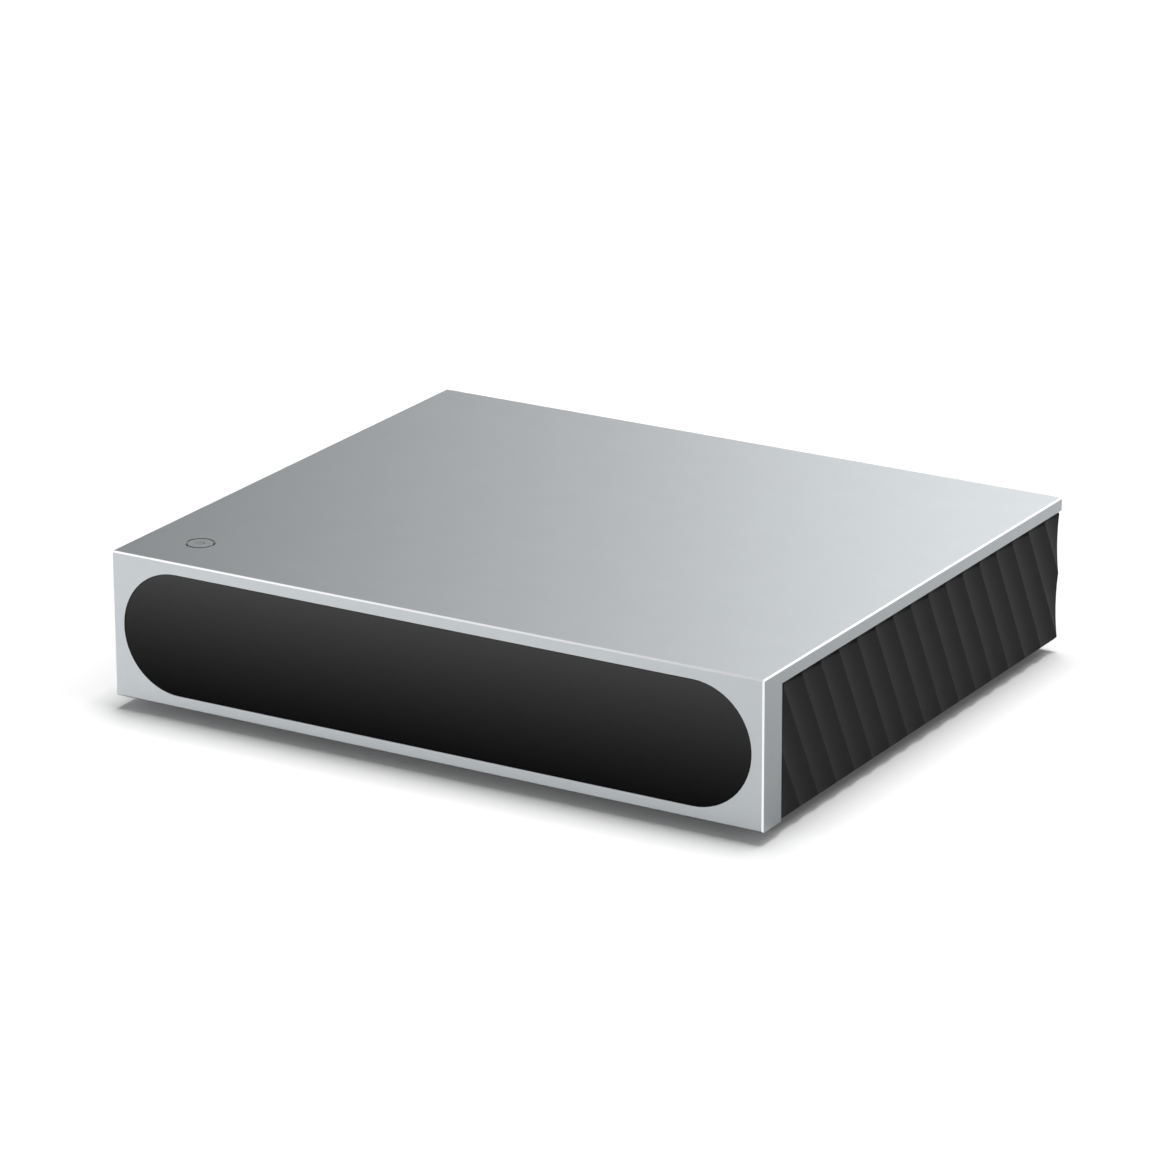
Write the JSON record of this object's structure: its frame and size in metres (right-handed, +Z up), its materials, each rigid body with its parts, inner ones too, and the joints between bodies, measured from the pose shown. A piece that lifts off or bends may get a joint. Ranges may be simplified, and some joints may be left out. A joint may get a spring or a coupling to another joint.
{
  "type": "network music streamer",
  "caption": "Low flat half-width hi-fi music streamer: thick silver front and top, slanted fluted black sides, dark pill-shaped front window, round button on top, sockets at the back.",
  "frame": {"origin": "on the floor under the feet, in the middle of the footprint with the rear jacks included", "axes": "+X to the right as seen from the front, +Y towards the back, +Z up"},
  "size_m": [0.218, 0.192, 0.049],
  "materials": {
    "silver_aluminium": "satin anodised, polished edges",
    "black_aluminium": "black anodised, matte",
    "black_window": "polished dark window",
    "black_tape": "foam tape",
    "display_glass": "glossy dark glass",
    "black_plastic": "moulded",
    "grey_plastic": "moulded",
    "clear_plastic": "smoky light pipe",
    "white_plastic": "moulded",
    "coloured_plastic": "red, white and orange",
    "black_steel": "black powder coat",
    "black_screw": "black oxide",
    "zinc_steel": "zinc plated",
    "tin_plate": "tin plated",
    "gold_plate": "gold plated",
    "rubber": "matte",
    "green_board": "solder mask",
    "black_board": "solder mask",
    "chip_epoxy": "moulded epoxy",
    "capacitor_sleeve": "shrink sleeve",
    "ferrite_and_tape": "yellow tape",
    "soft_pad": "soft",
    "wire_sleeve": "satin",
    "ribbon_film": "film"
  },
  "bodies": {
    "case": {"antenna_jacks": "gold_plate", "antenna_leads": "wire_sleeve", "antenna_nuts": "gold_plate", "board_chips": "chip_epoxy", "board_screws": "zinc_steel", "board_standoffs": "zinc_steel", "bottom_plate": "black_steel", "bottom_screws": "black_screw", "button_cable": "wire_sleeve", "button_switch": "black_plastic", "capacitors": "capacitor_sleeve", "case_screws": "black_screw", "display_board": "black_board", "display_panel": "display_glass", "display_ribbon": "ribbon_film", "display_tray": "black_plastic", "foot_front_left": "rubber", "foot_front_right": "rubber", "foot_rear_left": "rubber", "foot_rear_right": "rubber", "foot_screws": "zinc_steel", "front_lens": "black_window", "heat_bridge": "silver_aluminium", "left_heat_sink": "black_aluminium", "lens_tape": "black_tape", "link_jack": "tin_plate", "main_board": "green_board", "mains_contacts": "tin_plate", "mains_inlet": "black_plastic", "mains_wires": "wire_sleeve", "network_contacts": "gold_plate", "network_jack": "tin_plate", "optical_jack": "black_plastic", "phono_barrels": "gold_plate", "phono_bodies": "black_plastic", "phono_inserts": "coloured_plastic", "port_tongues": "black_plastic", "power_harness": "wire_sleeve", "processor": "chip_epoxy", "rear_panel": "black_steel", "remote_receiver": "black_plastic", "right_heat_sink": "black_aluminium", "rocker_housing": "black_plastic", "small_screws": "zinc_steel", "supply_board": "green_board", "supply_heat_sink": "black_aluminium", "supply_parts": "grey_plastic", "supply_transformer": "ferrite_and_tape", "switch_board": "green_board", "thermal_pad": "soft_pad", "top_shell": "silver_aluminium", "trigger_jack": "black_plastic", "usb_jacks": "tin_plate", "wireless_module": "tin_plate"},
    "button": {"power_button": "silver_aluminium", "button_light_pipe": "clear_plastic", "button_clip": "zinc_steel", "switch_plunger": "grey_plastic"},
    "mains_rocker": {"rocker": "black_plastic"},
    "port_flap": {"optical_flap": "grey_plastic"}
  },
  "joints": [
    {"name": "button_press", "type": "slide", "parent": "case", "child": "button", "axis": [0, 0, -1], "range_m": [0, 0.0005], "stiffness_N_per_m": 1500, "springref_m": -0.0004},
    {"name": "rocker_tip", "type": "hinge", "parent": "case", "child": "mains_rocker", "pos_m": [-0.04636, 0.0855, 0.02445], "axis": [-1, 0, 0], "range_deg": [0, 18]},
    {"name": "flap_swing", "type": "hinge", "parent": "case", "child": "port_flap", "pos_m": [0.0422, 0.0859, 0.02185], "axis": [-1, 0, 0], "range_deg": [0, 80], "stiffness_Nm_per_rad": 0.0001, "springref_deg": -17.19}
  ]
}
